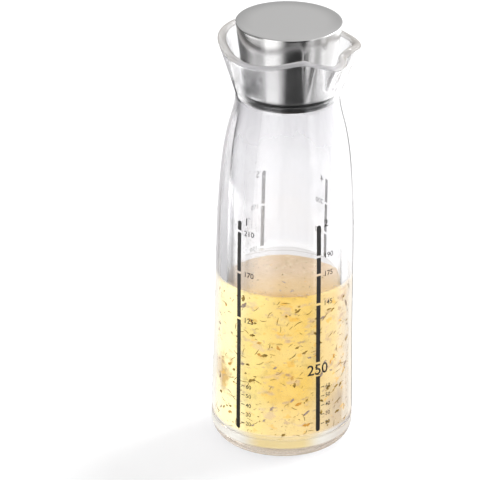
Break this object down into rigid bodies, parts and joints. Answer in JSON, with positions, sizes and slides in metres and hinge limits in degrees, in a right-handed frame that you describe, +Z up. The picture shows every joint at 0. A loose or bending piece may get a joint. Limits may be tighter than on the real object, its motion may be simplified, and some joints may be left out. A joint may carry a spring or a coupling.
{
  "type": "salad dressing shaker bottle",
  "caption": "Thick glass shaker bottle with a flared wavy pouring mouth, a press-in steel stopper lid with a silicone seal, and salad dressing inside.",
  "frame": {"origin": "on the bottle's axis, at the middle of the flat face that it stands on", "axes": "+Z up along the bottle's axis, +X towards the pouring lip"},
  "size_m": [0.0701, 0.0632, 0.2],
  "materials": {
    "clear_glass": "polished clear glass",
    "dressing": "cloudy yellow liquid with herb flecks",
    "brushed_steel": "fine brushed stainless steel",
    "black_plastic": "smooth black plastic",
    "black_silicone": "glossy black silicone"
  },
  "bodies": {
    "bottle": {"glass_bottle": "clear_glass", "dressing": "dressing"},
    "lid": {"lid_shell": "brushed_steel", "lid_core": "black_plastic", "lid_seal": "black_silicone", "lid_base_cover": "black_plastic"}
  },
  "joints": [
    {"name": "lid_lift", "type": "slide", "parent": "bottle", "child": "lid", "axis": [0, 0, 1], "range_m": [0, 0.05]}
  ]
}
